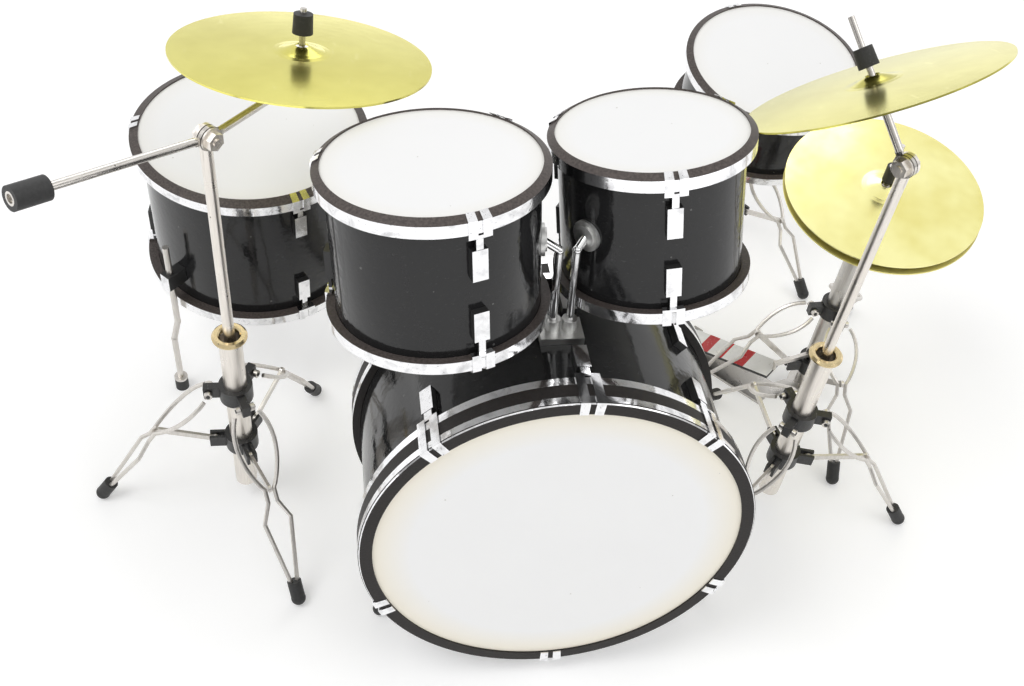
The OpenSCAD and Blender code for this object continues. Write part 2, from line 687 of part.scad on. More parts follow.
// ---- hi-hat -----------------------------------------------------
hat_seat = 3;
hat_rod_r = 0.9;
hat_tube_top = hat_z - hat_gap - cymbal_h - cymbal_t - slip - hat_seat;
rod_top = 119.5;
heel_xy = [79.5, 136.5];
board_turn = -46;
board_w = 10;
board_l = 38;
board_rise = 14;
heel_z = 3.4;
toe_xy = [heel_xy[0] + (board_l - 1.5) * cos(board_turn), heel_xy[1] + (board_l - 1.5) * sin(board_turn)];
toe_z = heel_z + (board_l - 1.5) * sin(board_rise) + 2.3;
pull = toe_xy - hat_xy;
pull_l = norm(pull);
pull_turn = atan2(pull[1], pull[0]);
arm_z = 17.2;
module hat_stand() {
  color(satin) {
    at(hat_xy) difference() {
      union() {
        translate([0, 0, 1]) cylinder(h = hat_tube_top - 1, r = tube_r);
        translate([0, 0, hat_tube_top - 0.5]) cylinder(h = hat_seat + 0.5, r1 = 2.4, r2 = 1.6);
        cylinder(h = 1.2, r = 6.5);
      }
      translate([0, 0, 4]) cylinder(h = 30, r = tube_r - tube_t);
      translate([0, 0, 20]) cylinder(h = 100, r = hat_rod_r + fit);
      rotate([0, 0, pull_turn]) translate([0, -1.5, arm_z - 2]) cube([6, 3, 5]);
    }
    // base plate with a link to the tube and two hinge ears at the heel
    at(heel_xy) rotate([0, 0, board_turn]) {
      translate([-4, -board_w / 2 - 1.5, 0]) cube([board_l + 4, board_w + 3, 1.2]);
      for (m = [-1, 1]) difference() {
        translate([-2, m * (board_w / 2 + slip + 0.6) - 0.6, 1]) cube([4, 1.2, heel_z + 1]);
        translate([0, m * (board_w / 2 + 1), heel_z]) rotate([90, 0, 0])
          cylinder(h = 5, r = 0.8 + fit, center = true);
      }
    }
    at(hat_xy) rotate([0, 0, pull_turn]) translate([5, -3, 0]) cube([pull_l - 6, 6, 1.2]);
  }
}
// Footboard: hinge pin at the heel, the toe raised
module footboard(l, w, rise) {
  rotate([0, -rise, 0]) {
    translate([1, -w / 2, 1]) cube([l - 1, w, 1.2]);
    translate([-0.4, -w / 2, 0.4]) cube([2, w, 1.6]);
  }
  rotate([90, 0, 0]) cylinder(h = w + 2 * slip + 2.2, r = 0.8, center = true);
  rotate([90, 0, 0]) cylinder(h = w - 0.4, r = 1.5, center = true);
}
module hat_footboard() {
  color(white) at(heel_xy, heel_z) rotate([0, 0, board_turn]) footboard(board_l, board_w, board_rise);
}
// Pull rod with its arm to the toe of the footboard, and the clutch
hat_hole = hat_z + cymbal_h;
module hat_rod() {
  color(satin) at(hat_xy) {
    translate([0, 0, arm_z]) cylinder(h = rod_top - arm_z, r = hat_rod_r);
    translate([0, 0, hat_hole - slip - 1]) cylinder(h = 1, r1 = 1.5, r2 = 1.2);
    translate([0, 0, hat_hole + cymbal_t + slip + 0.1]) cylinder(h = 1, r1 = 1.2, r2 = 1.6);
    translate([0, 0, hat_hole + cymbal_t + slip + 1]) cylinder(h = 6, r = 2.1);
    rotate([0, 0, pull_turn]) translate([0, -0.8, arm_z]) cube([pull_l + 0.8, 1.6, 1.6]);
    rotate([0, 0, pull_turn]) translate([pull_l, 0, toe_z + slip]) cylinder(h = arm_z + 0.5 - toe_z - slip, r = 0.7);
  }
}
module hat_top() { color(brass) at(hat_xy, hat_hole) to_axis(hat_n) translate([0, 0, -cymbal_h]) cymbal(hat_d); }
module hat_bottom() {
  h = hat_z - hat_gap - cymbal_h;
  color(brass) at(hat_xy, h) to_axis(hat_n) mirror([0, 0, 1]) translate([0, 0, -cymbal_h]) cymbal(hat_d);
}

// ---- snare ------------------------------------------------------
snare_hub = snare_lift - 9;
module snare_tilted() {
  at(snare_xy, snare_hub) rotate([snare_tilt, 0, 0]) children();
}
module snare_axis() {
  snare_tilted() translate([0, 0, 9]) children();
}
module snare_shell() { color(black) snare_axis() shell(snare); }
module snare_hoops() { color(black) snare_axis() hoops(snare); }
module snare_heads() { color(white) snare_axis() heads(snare); }
module snare_hardware() {
  color(chrome) snare_axis() {
    lugs(snare, thirds(-13), 2.3, 1.3, 1.8, 6.6);
    // throw-off with its lever, on the drummer's side
    rotate([0, 0, 77]) difference() {
      union() {
        translate([snare[0] - 1, -2.5, 9]) cube([4, 5, 13]);
        translate([snare[0] + 2.5, -1, 14]) cube([1.2, 2, 11]);
      }
      cylinder(h = 40, r = snare[0] + fit, $fn = 96);
    }
  }
}
module snare_basket() {
  color(satin) snare_tilted() {
    for (i = [0 : 2]) rotate([0, 0, 47 + 120 * i]) {
      translate([0, -1.2, 4]) cube([snare[3] + 2.4, 2.4, 2]);
      translate([snare[3] + 0.9, -1.8, 4]) cube([1.5, 3.6, 9]);
      translate([snare[3] - 6, -1.8, 5.8]) cube([8, 3.6, 3.2]);
    }
    translate([0, 0, 3.6]) cylinder(h = 2.4, r = 5);
    translate([-2, -1.5, 0]) cube([4, 3, 4]);
    rotate([0, 90, 0]) cylinder(h = 4, r = 2.6, center = true);
    rotate([0, 90, 0]) cylinder(h = 9, r = 0.9, center = true);
  }
}
module snare_stand() {
  color(satin) at(snare_xy) difference() {
    union() {
      translate([0, 0, tube_foot]) cylinder(h = snare_hub - 4.4 - tube_foot, r = tube_r);
      translate([0, 0, snare_hub - 5.4]) cylinder(h = 1.4, r = 4.4);
      for (m = [-1, 1]) translate([m * 3 - 0.7, -2.6, snare_hub - 4.6]) cube([1.4, 5.2, 6.6]);
    }
    translate([0, 0, snare_hub]) rotate([0, 90, 0]) cylinder(h = 12, r = 0.9 + fit, center = true);
  }
  legs(snare_set);
}

// ---- kick pedal -------------------------------------------------
kick_y = bass_point([0, bass_h, 0])[1];
kick_heel = [0, kick_y + 55];
kick_w = 10;
axle_y = kick_y + 12;
axle_z = 26;
module kick_base() {
  color(satin) place() {
    translate([-7, kick_y + 0.9, 0]) cube([14, 58, 1.2]);
    for (m = [-1, 1]) {
      difference() {
        translate([m * 8.2 - 1.2, axle_y - 2.2, 0]) cube([2.4, 4.4, axle_z + 3]);
        translate([m * 8.2, axle_y, axle_z]) rotate([0, 90, 0]) cylinder(h = 5, r = 1 + fit, center = true);
      }
      difference() {
        translate([m * (kick_w / 2 + slip + 0.6) - 0.6, kick_heel[1] - 2, 1]) cube([1.2, 4, heel_z + 1]);
        translate([m * 6, kick_heel[1], heel_z]) rotate([0, 90, 0]) cylinder(h = 5, r = 0.8 + fit, center = true);
      }
    }
  }
}
module kick_footboard() {
  color(satin) place() translate([0, kick_heel[1], heel_z]) rotate([0, 0, -90]) footboard(board_l, kick_w, board_rise);
}
module kick_beater() {
  color(satin) place() translate([0, axle_y, axle_z]) {
    rotate([0, 90, 0]) cylinder(h = 19.6, r = 1, center = true);
    rotate([0, 90, 0]) cylinder(h = 7, r = 2.2, center = true);
    rotate([-38, 0, 0]) {
      cylinder(h = 24, r = 0.9);
      translate([0, 0, 26]) rotate([90, 0, 0]) cylinder(h = 6, r = 3.6, center = true);
    }
  }
}

bass_shell();
bass_hoops();
bass_heads();
bass_lugs();
tom_mount();
spur_left();
spur_right();
tom1_shell();
tom1_hoops();
tom1_heads();
tom1_lugs();
tom1_flange();
tom1_arm();
tom2_shell();
tom2_hoops();
tom2_heads();
tom2_lugs();
tom2_flange();
tom2_arm();
floor_shell();
floor_hoops();
floor_heads();
floor_lugs();
floor_legs();
snare_shell();
snare_hoops();
snare_heads();
snare_hardware();
snare_basket();
snare_stand();
hat_stand();
hat_legs();
hat_rod();
hat_top();
hat_bottom();
hat_footboard();
stand_collars();
tube_rings();
left_tube();
left_slider();
left_leg_a();
left_leg_b();
left_leg_c();
left_brace_a();
left_brace_b();
left_brace_c();
left_upper();
left_boom();
left_weight();
left_cymbal();
left_sleeve();
right_tube();
right_legs();
right_upper();
right_tilter();
right_cymbal();
right_sleeve();
kick_base();
kick_footboard();
kick_beater();
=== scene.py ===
# %% [markdown]
# # A small acoustic drum kit, dressed for its portrait
# The part comes in from the CAD with its real sizes and its own frame, in metres. The shapes
# are all there. What is made here is how they look: where the chrome ends and the board
# begins, how the wrap shines, which end of a wire is rubber. The order is that of a studio:
# first the camera, then the room with its lamps, then one finish after another.

# %% Load the part
import bpy
import math
from mathutils import Matrix, Vector


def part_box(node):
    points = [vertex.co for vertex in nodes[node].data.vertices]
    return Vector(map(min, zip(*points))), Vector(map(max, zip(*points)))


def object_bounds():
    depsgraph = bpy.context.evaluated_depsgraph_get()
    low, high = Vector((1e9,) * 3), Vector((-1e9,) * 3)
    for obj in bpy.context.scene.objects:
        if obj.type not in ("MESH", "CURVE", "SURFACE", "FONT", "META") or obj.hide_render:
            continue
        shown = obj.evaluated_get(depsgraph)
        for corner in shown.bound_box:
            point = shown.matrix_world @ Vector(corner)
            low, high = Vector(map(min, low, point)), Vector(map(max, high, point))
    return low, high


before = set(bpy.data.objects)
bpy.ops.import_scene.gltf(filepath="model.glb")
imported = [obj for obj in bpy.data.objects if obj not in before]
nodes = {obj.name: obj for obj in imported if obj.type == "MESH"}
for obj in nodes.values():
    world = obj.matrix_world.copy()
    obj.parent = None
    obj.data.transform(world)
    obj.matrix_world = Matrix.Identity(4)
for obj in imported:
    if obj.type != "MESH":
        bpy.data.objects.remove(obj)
cad_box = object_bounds()
print("nodes:", len(nodes), "box:", [[round(c, 4) for c in p] for p in cad_box])

# %% [markdown]
# ## The camera
# A camera needs a place, a direction and a lens. The direction is written as three vectors:
# what points right, up and back in the picture. A matrix built from them is exact, where
# three angles would have to be found by trial.

# %% Place the camera
MM = 0.001
DESIGN_MIDDLE = Vector((6.1, 123.8, 0.0))


def mm(x, y, z):
    """A point of the design, in millimetres, as metres in the part's frame."""
    return (Vector((x, y, z)) - DESIGN_MIDDLE) * MM


LENS_PLACE = mm(-61.51, -173.55, 353.79)
VIEW_RIGHT = Vector((0.989, -0.11658, 0.09103))
VIEW_UP = Vector((0.02651, 0.7452, 0.66632))
VIEW_BACK = Vector((-0.14551, -0.65658, 0.74009))
SENSOR_WIDTH = 36
FOCAL_LENGTH = 42.19
NEAR_LIMIT = 10 * MM

lens = bpy.data.cameras.new("portrait_lens")
lens.sensor_width = SENSOR_WIDTH
lens.lens = FOCAL_LENGTH
lens.clip_start = NEAR_LIMIT
camera = bpy.data.objects.new("portrait_camera", lens)
bpy.context.collection.objects.link(camera)
turn = Matrix((VIEW_RIGHT, VIEW_UP, VIEW_BACK)).transposed().to_4x4()
camera.matrix_world = Matrix.Translation(LENS_PLACE) @ turn
bpy.context.scene.camera = camera
print("camera at", [round(c, 3) for c in camera.location])

# %% [markdown]
# ## Small helpers for node trees
# A material is a little diagram of nodes. Building one in code is mostly two acts: add a node
# with some of its inputs set, and join an output to an input. Short helpers for these acts,
# and for the few sums and blends that come back in every finish, keep what follows readable.


# %% Helpers: add nodes and join them
def plug(tree, socket, value):
    """Join the socket if the value is a node's output, and otherwise store the value in it."""
    if isinstance(value, bpy.types.NodeSocket):
        tree.links.new(value, socket)
    else:
        socket.default_value = value


def add(tree, kind, **inputs):
    """A new node; keys name its inputs (underscores for spaces), count them (i0, i1) or
    name its own settings."""
    node = tree.nodes.new(kind)
    for key, value in inputs.items():
        name = key.replace("_", " ")
        if name in node.inputs:
            plug(tree, node.inputs[name], value)
        elif key[0] == "i" and key[1:].isdigit():
            plug(tree, node.inputs[int(key[1:])], value)
        else:
            setattr(node, key, value)
    return node


def set_on(node, **inputs):
    """Set or join inputs of a node that is there already."""
    for key, value in inputs.items():
        plug(node.id_data, node.inputs[key.replace("_", " ")], value)


def new_material(name):
    """A material with its Principled shader; returns the material, its tree and the shader."""
    material = bpy.data.materials.new(name)
    material.use_nodes = True
    tree = material.node_tree
    return material, tree, tree.nodes["Principled BSDF"]


# %% Helpers: sums, masks and blends
def maths(tree, operation, a, b=0.0):
    return add(tree, "ShaderNodeMath", operation=operation, i0=a, i1=b).outputs[0]


def fold(tree, operation, first, *others):
    """Several values made one, two at a time, by the same operation."""
    for other in others:
        first = maths(tree, operation, first, other)
    return first


def total(tree, *terms):
    """The sum of (value, share) pairs."""
    return fold(tree, "ADD", *[maths(tree, "MULTIPLY", value, share) for value, share in terms])


def edge(tree, value, start, end):
    """A soft step: 0 at start, 1 at end. With start above end the mask falls as the value grows."""
    return add(tree, "ShaderNodeMapRange", Value=value, From_Min=start, From_Max=end).outputs[0]


def in_bands(tree, value, *bands):
    """1 where the value lies inside one of the (start, end) pairs, and 0 elsewhere."""
    masks = [maths(tree, "MULTIPLY", maths(tree, "GREATER_THAN", value, start),
                   maths(tree, "LESS_THAN", value, end)) for start, end in bands]
    return fold(tree, "MAXIMUM", *masks)


def blend_numbers(tree, mask, low, high):
    """low where the mask is 0, high where it is 1."""
    return add(tree, "ShaderNodeMapRange", Value=mask, To_Min=low, To_Max=high).outputs[0]


def blend_colours(tree, mask, low, high):
    """The same for colours."""
    return add(tree, "ShaderNodeMix", data_type="RGBA", i0=mask, i6=low, i7=high).outputs[2]


# %% Helpers: noise, bump and colours
def noise(tree, point, scale, detail=2.0, **settings):
    """Soft random values from 0 to 1 over the surface, with scale waves to the metre."""
    node = add(tree, "ShaderNodeTexNoise", Vector=point, Scale=scale, Detail=detail, **settings)
    return node.outputs[0]


def bump(tree, height, distance, strength):
    """A normal that pretends relief; distance is the depth in metres for a height of 1."""
    node = add(tree, "ShaderNodeBump", Height=height, Distance=distance, Strength=strength)
    return node.outputs[0]


def grey(value):
    return (value, value, value, 1.0)


def srgb(r, g, b):
    """A colour as a painter reads it, 0 to 255, made linear for the shader."""
    line = [(c / 255 / 12.92) if c / 255 <= 0.04045 else ((c / 255 + 0.055) / 1.055) ** 2.4
            for c in (r, g, b)]
    return (*line, 1.0)


print("a painter's middle grey is", round(srgb(128, 128, 128)[0], 3), "of white for the shader")

# %% [markdown]
# ## The studio
# The floor is one plane. Its own colour is nearly white, and it adds a little light of its own
# that only the camera and mirroring surfaces see, more of it far away. So the background is
# white while the soft shadows of legs and drums stay.

# %% Floor
FLOOR_WIDTH = 6
GLOW_NEAR = 0.25
GLOW_FAR = 1.05
GLOW_GROWS = (0.35, 1.4)

floor_z = cad_box[0][2]
bpy.ops.object.select_all(action="DESELECT")
bpy.ops.mesh.primitive_plane_add(size=FLOOR_WIDTH, location=(0, 0, floor_z))
floor = bpy.context.object
floor.name = "studio_floor"
floor_paper, tree, shader = new_material("floor_paper")
point = add(tree, "ShaderNodeTexCoord").outputs["Object"]
fibre = noise(tree, point, scale=900.0)
set_on(shader, Base_Color=blend_colours(tree, fibre, grey(0.86), grey(0.88)), Roughness=0.9,
       Specular_IOR_Level=0.0)
away = add(tree, "ShaderNodeVectorMath", operation="LENGTH", i0=point).outputs["Value"]
strength = blend_numbers(tree, edge(tree, away, *GLOW_GROWS), GLOW_NEAR, GLOW_FAR)
ray = add(tree, "ShaderNodeLightPath")
seen = maths(tree, "MAXIMUM", ray.outputs["Is Camera Ray"], ray.outputs["Is Glossy Ray"])
glow = add(tree, "ShaderNodeEmission", Color=grey(1.0), Strength=maths(tree, "MULTIPLY", seen, strength))
both = add(tree, "ShaderNodeAddShader", i0=shader.outputs[0], i1=glow.outputs[0])
set_on(tree.nodes["Material Output"], Surface=both.outputs[0])
floor.data.materials.append(floor_paper)
print("floor at z", round(floor_z, 4))

# %% [markdown]
# ## Air and lamps
# Polished metal looks like what surrounds it, so the world has two faces. What mirrors see is a
# white room that grows dark low down at the front, which gives chrome its dark streaks. What
# lights dull surfaces is one even grey. Four round lamps, as big as softboxes, shape the rest.

# %% World
ROOM_DARK = (0.16, 0.16, 0.165, 1)
EVEN_LIGHT = grey(0.55)

world = bpy.data.worlds.new("studio_air")
bpy.context.scene.world = world
world.use_nodes = True
tree = world.node_tree
way = add(tree, "ShaderNodeTexCoord").outputs["Generated"]
parts = add(tree, "ShaderNodeSeparateXYZ", Vector=way)
to_front = edge(tree, parts.outputs["Y"], start=0.1, end=-0.7)
low_down = edge(tree, parts.outputs["Z"], start=0.75, end=0.1)
room = blend_colours(tree, maths(tree, "MULTIPLY", to_front, low_down), grey(1.0), ROOM_DARK)
ray = add(tree, "ShaderNodeLightPath")
plain = blend_colours(tree, ray.outputs["Is Diffuse Ray"], room, EVEN_LIGHT)
set_on(tree.nodes["Background"], Color=blend_colours(tree, ray.outputs["Is Camera Ray"], plain, grey(1.0)))
print("the room mirrors as", ROOM_DARK[0], "at its darkest and lights dull faces as", EVEN_LIGHT[0])

# %% Lamps
LAMPS_AIM = Vector((0, 0, 0.08))


def soft_lamp(name, place, size, watts):
    data = bpy.data.lights.new(name, "AREA")
    data.shape = "DISK"
    data.size = size
    data.energy = watts
    lamp = bpy.data.objects.new(name, data)
    lamp.location = place
    lamp.rotation_euler = (LAMPS_AIM - Vector(place)).to_track_quat("-Z", "Y").to_euler()
    bpy.context.collection.objects.link(lamp)
    return lamp


soft_lamp("key_softbox", (-0.7, -0.25, 1.25), size=0.7, watts=5.6)
soft_lamp("fill_softbox", (0.9, -0.5, 1.1), size=1.0, watts=3.0)
soft_lamp("rim_softbox", (0.2, 1.1, 1.0), size=0.9, watts=3.0)
# this broad lamp lights the upright heads from the front, and leaves no mirror image on tubes
front_softbox = soft_lamp("front_softbox", (0.1, -1.5, 0.5), size=1.2, watts=4.0)
front_softbox.visible_glossy = False
bpy.context.scene.view_settings.view_transform = "Standard"

# %% [markdown]
# ## Effects that several finishes share
# Four node groups, each built once:
# * `along_axis` reads a point as a drum maker does: how far along the axis, how far from it,
#   at which angle, and how much the surface faces outwards.
# * `handling` gives soft smudges and hair scratches, for roughness and a faint relief.
# * `brushed` gives the fine drawn lines of wire and tube, and their duller patches.
# * `specks` gives rare small spots of dust and tarnish.


# %% Helpers: make and use a group
def new_group(name, inputs, outputs):
    """An empty group with its entry and exit; inputs are (name, type, default), outputs names."""
    group = bpy.data.node_groups.new(name, "ShaderNodeTree")
    for label, kind, default in inputs:
        socket = group.interface.new_socket(label, in_out="INPUT", socket_type="NodeSocket" + kind)
        if default is not None:
            socket.default_value = default
    for label in outputs:
        group.interface.new_socket(label, in_out="OUTPUT", socket_type="NodeSocketFloat")
    print("group", name, "gives", ", ".join(outputs))
    return group, group.nodes.new("NodeGroupInput").outputs, group.nodes.new("NodeGroupOutput")


def use(tree, group, **inputs):
    """Places a group in a tree and returns its outputs."""
    return add(tree, "ShaderNodeGroup", node_tree=group, **inputs).outputs


# %% Group: along_axis
along_axis, given, result = new_group(
    "along_axis", [("Point", "Vector", None), ("Facing", "Vector", None)],
    ["Height", "Radius", "Angle", "Outward"])
xyz = add(along_axis, "ShaderNodeSeparateXYZ", Vector=given["Point"]).outputs
flat = add(along_axis, "ShaderNodeCombineXYZ", X=xyz["X"], Y=xyz["Y"]).outputs[0]
reach = add(along_axis, "ShaderNodeVectorMath", operation="LENGTH", i0=flat).outputs["Value"]
spoke = add(along_axis, "ShaderNodeVectorMath", operation="NORMALIZE", i0=flat).outputs[0]
facing = add(along_axis, "ShaderNodeVectorMath", operation="NORMALIZE", i0=given["Facing"]).outputs[0]
outward = add(along_axis, "ShaderNodeVectorMath", operation="DOT_PRODUCT", i0=spoke, i1=facing)
set_on(result, Height=xyz["Z"], Radius=reach, Angle=maths(along_axis, "ARCTAN2", xyz["Y"], xyz["X"]),
       Outward=outward.outputs["Value"])

# %% Group: handling
SCRATCH_STRETCH = (1.0, 0.22, 2.6)
SCRATCHES_FINER = 14.0
SMUDGE_RELIEF = 0.3

handling, given, result = new_group(
    "handling", [("Point", "Vector", None), ("Scale", "Float", 60.0), ("Scratches", "Float", 0.5)],
    ["Smudge", "Scratch", "Height"])
cloud = noise(handling, given["Point"], given["Scale"], detail=3.0, Roughness=0.6)
smudge = edge(handling, cloud, start=0.38, end=0.66)
drawn = add(handling, "ShaderNodeVectorMath", operation="MULTIPLY", i0=given["Point"], i1=SCRATCH_STRETCH)
fine = maths(handling, "MULTIPLY", given["Scale"], SCRATCHES_FINER)
hair = noise(handling, drawn.outputs[0], fine, detail=1.0, Distortion=1.2)
scratch = maths(handling, "MULTIPLY", edge(handling, hair, start=0.69, end=0.74), given["Scratches"])
relief = maths(handling, "SUBTRACT", maths(handling, "MULTIPLY", smudge, SMUDGE_RELIEF), scratch)
set_on(result, Smudge=smudge, Scratch=scratch, Height=relief)

# %% Group: brushed
DULL_PATCHES = 180.0

brushed, given, result = new_group(
    "brushed", [("Point", "Vector", None), ("Stretch", "Vector", (1.0, 1.0, 0.04)),
                ("Scale", "Float", 2600.0)],
    ["Line", "Patch"])
drawn = add(brushed, "ShaderNodeVectorMath", operation="MULTIPLY", i0=given["Point"], i1=given["Stretch"])
patch = noise(brushed, given["Point"], DULL_PATCHES)
set_on(result, Line=noise(brushed, drawn.outputs[0], given["Scale"]),
       Patch=edge(brushed, patch, start=0.35, end=0.7))

# %% Group: specks
RARE_ABOVE = 0.88

specks, given, result = new_group(
    "specks", [("Point", "Vector", None), ("Scale", "Float", 220.0), ("Size", "Float", 0.12)], ["Mask"])
cells = add(specks, "ShaderNodeTexVoronoi", Vector=given["Point"], Scale=given["Scale"]).outputs
lot = add(specks, "ShaderNodeSeparateColor", Color=cells["Color"]).outputs
own_size = maths(specks, "MULTIPLY", given["Size"], lot[1])
spot = maths(specks, "LESS_THAN", cells["Distance"], own_size)
rare = maths(specks, "GREATER_THAN", lot[0], RARE_ABOVE)
set_on(result, Mask=maths(specks, "MULTIPLY", spot, rare))

# %% [markdown]
# ## Where the drums are
# Rings, shells, heads and lugs have patterns that follow the drum: a bright band round the
# hoop, a seam along the wrap. So each drum gets a small card: the middle of its lower face, the
# direction of its axis, its height, and the radii of the lip under its head and of its hoop.


# %% Cards of the five drums
def middle_of(node):
    a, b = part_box(node)
    return (Vector(a) + Vector(b)) / 2


def card(name, axis, height, lip, hoop):
    """Sizes in mm. The rings are even about the drum's middle, so their box gives its place."""
    axis = Vector(axis).normalized()
    foot = middle_of(name + "_hoops") - axis * height * MM / 2
    print(name, "foot at", [round(c / MM, 2) for c in foot], "mm")
    return {"foot": foot, "axis": axis, "height": height * MM, "lip": lip * MM, "hoop": hoop * MM}


drums = {
    "bass": card("bass", (0, 0.99396, -0.10973), height=60, lip=53, hoop=57),
    "tom1": card("tom1", (-0.07145, 0.19525, 0.97815), height=45, lip=27.3, hoop=29.4),
    "tom2": card("tom2", (-0.12046, 0.23288, 0.96502), height=44.5, lip=25.2, hoop=27.2),
    "floor": card("floor", (0, 0, 1), height=56.7, lip=36.5, hoop=39.5),
    "snare": card("snare", (0.0, -0.1323, 0.9912), height=33.4, lip=32, hoop=34.5),
}

# %% [markdown]
# ## A space that stands on a piece
# A pattern is easy to write when its piece stands upright at the centre of the world. A Mapping
# node of the Texture kind gives just that: it moves and turns the question, and the piece
# stays where it is. Place and facing of the surface both go through one.

# %% Spaces for patterns
UPRIGHT = Vector((0, 0, 1))


def own_space(tree, foot, spin):
    """Point and facing of the surface in a space that stands at foot, turned by spin."""
    coords = add(tree, "ShaderNodeTexCoord").outputs
    point = add(tree, "ShaderNodeMapping", vector_type="TEXTURE", Vector=coords["Object"],
                Location=foot, Rotation=spin)
    facing = add(tree, "ShaderNodeMapping", vector_type="TEXTURE", Vector=coords["Normal"], Rotation=spin)
    return point.outputs[0], facing.outputs[0]


def round_space(tree, foot, axis=UPRIGHT):
    """The point seen from foot with the axis upright, and what along_axis reads there."""
    point, facing = own_space(tree, foot, UPRIGHT.rotation_difference(axis).to_euler())
    return point, use(tree, along_axis, Point=point, Facing=facing)


def drum_space(tree, drum):
    """round_space of a drum, and the depth: how far in from the nearer end of the drum."""
    point, read = round_space(tree, drum["foot"], drum["axis"])
    from_top = maths(tree, "SUBTRACT", drum["height"], read["Height"])
    return point, read, maths(tree, "MINIMUM", read["Height"], from_top)


lean = math.degrees(UPRIGHT.angle(drums["tom1"]["axis"]))
print("the first tom's space leans by", round(lean, 1), "degrees")

# %% Put a finish on a piece
dressed = set()
print("pieces to dress:", len(nodes))


def dress(material, *pieces):
    """Puts one material in every slot of the CAD's pieces."""
    for piece in pieces:
        for slot in nodes[piece].material_slots:
            slot.material = material
    dressed.update(pieces)
    print(material.name, "on", ", ".join(pieces))


# %% [markdown]
# ## Black wrap of the shells
# The shells are wrapped in gloss black plastic sheet. It could be a flat black with a low
# roughness, but real wrap is never quite even: it is a little wavy, it has a straight seam
# where its ends meet, with small wrinkles beside it, and it carries dust and faint smudges.
# Most of that goes into bump and roughness, since a black surface shows mainly reflections.

# %% Wrap
WRAP_BLACK = (0.012, 0.012, 0.0125, 1)
WRAP_DUST = (0.1, 0.1, 0.097, 1)
SEAM_AT = {"bass": 2.4, "tom1": -2.75, "tom2": -0.55, "floor": 2.6, "snare": -1.2}


def wrap(name, drum, seam):
    """seam: the angle round the drum, in radians, at which the sheet's ends meet."""
    material, tree, shader = new_material(name)
    point, read = round_space(tree, drum["foot"], drum["axis"])
    wear = use(tree, handling, Point=point, Scale=70.0, Scratches=0.5)
    dust = use(tree, specks, Point=point, Scale=420.0, Size=0.16)["Mask"]
    away = maths(tree, "ABSOLUTE", maths(tree, "SUBTRACT", read["Angle"], seam))
    line = edge(tree, away, start=0.02, end=0.012)
    beside = edge(tree, away, start=0.16, end=0.02)
    waves = noise(tree, point, scale=46.0, detail=1.0)
    wrinkles = noise(tree, point, scale=420.0)
    peel = noise(tree, point, scale=520.0)
    tall = total(tree, (waves, 1.0), (line, 0.9), (wrinkles, beside), (peel, 0.16), (dust, 0.08))
    colour = blend_colours(tree, dust, WRAP_BLACK, WRAP_DUST)
    colour = blend_colours(tree, wear["Scratch"], colour, grey(0.05))
    colour = blend_colours(tree, line, colour, grey(0.001))
    gloss = blend_numbers(tree, wear["Smudge"], 0.07, 0.17)
    set_on(shader, Base_Color=colour, Roughness=blend_numbers(tree, line, gloss, 0.6),
           Normal=bump(tree, tall, distance=0.35 * MM, strength=0.8), IOR=1.4, Coat_Weight=0.08,
           Coat_Roughness=0.05)
    return material


for name, seam in SEAM_AT.items():
    dress(wrap(name + "_wrap", drums[name], seam), name + "_shell")

# %% [markdown]
# ## White heads
# A head is a sheet of white film under tension. It is nearly flat in colour, and its interest
# is at the rim, where the film bends over the edge: there it turns slightly cream and shows a
# shallow ridge. A faint cloudiness and a few specks keep the large white discs from looking cut
# out of paper.

# %% Film
RIM_STARTS, RIM_ENDS = 0.8, 0.99
FILM_DUST = (0.62, 0.61, 0.58, 1)
TOM_RIM = (0.88, 0.87, 0.83, 1)
WIDE_RIM = (0.88, 0.87, 0.84, 1)
RIM_COLOURS = {"bass": (0.89, 0.84, 0.72, 1), "tom1": TOM_RIM, "tom2": TOM_RIM,
               "floor": WIDE_RIM, "snare": WIDE_RIM}


def film(name, drum, rim_colour):
    material, tree, shader = new_material(name)
    point, read = round_space(tree, drum["foot"], drum["axis"])
    rim = edge(tree, read["Radius"], drum["lip"] * RIM_STARTS, drum["lip"] * RIM_ENDS)
    cloud = noise(tree, point, scale=30.0)
    grain = noise(tree, point, scale=2400.0)
    dust = use(tree, specks, Point=point, Scale=330.0, Size=0.09)["Mask"]
    plain = blend_colours(tree, cloud, grey(0.87), (0.91, 0.91, 0.905, 1))
    colour = blend_colours(tree, rim, plain, rim_colour)
    set_on(shader, Base_Color=blend_colours(tree, dust, colour, FILM_DUST),
           Roughness=blend_numbers(tree, cloud, 0.38, 0.5),
           Normal=bump(tree, total(tree, (grain, 0.25), (rim, 2.0)), distance=0.06 * MM, strength=0.5))
    return material


for name, rim_colour in RIM_COLOURS.items():
    dress(film(name + "_film", drums[name], rim_colour), name + "_heads")

# %% [markdown]
# ## Rings with a bright band
# On the miniature the hoops are black rings of grained board with chrome tape round them. The
# bass drum has two tapes with a black band between, folded a little over the end. One material
# can hold both: the depth along the drum's axis says where the tape is, and the direction of
# the surface says whether it is the outer side at all. The tape shows dull creases; the board
# is brown-black with a fine grain.

# %% Rings
TAPE_FACES = 0.9
FOLD_DEPTH = 0.3 * MM
BOARD_DARK = srgb(12, 11, 11)
BOARD_PALE = srgb(108, 99, 95)
BASS_BOARD_PALE = srgb(46, 41, 39)
TAPE_BRIGHT = (0.9, 0.9, 0.91, 1)
TAPE_DULL = (0.6, 0.6, 0.61, 1)
TAPE_SCRATCH = (0.3, 0.3, 0.31, 1)


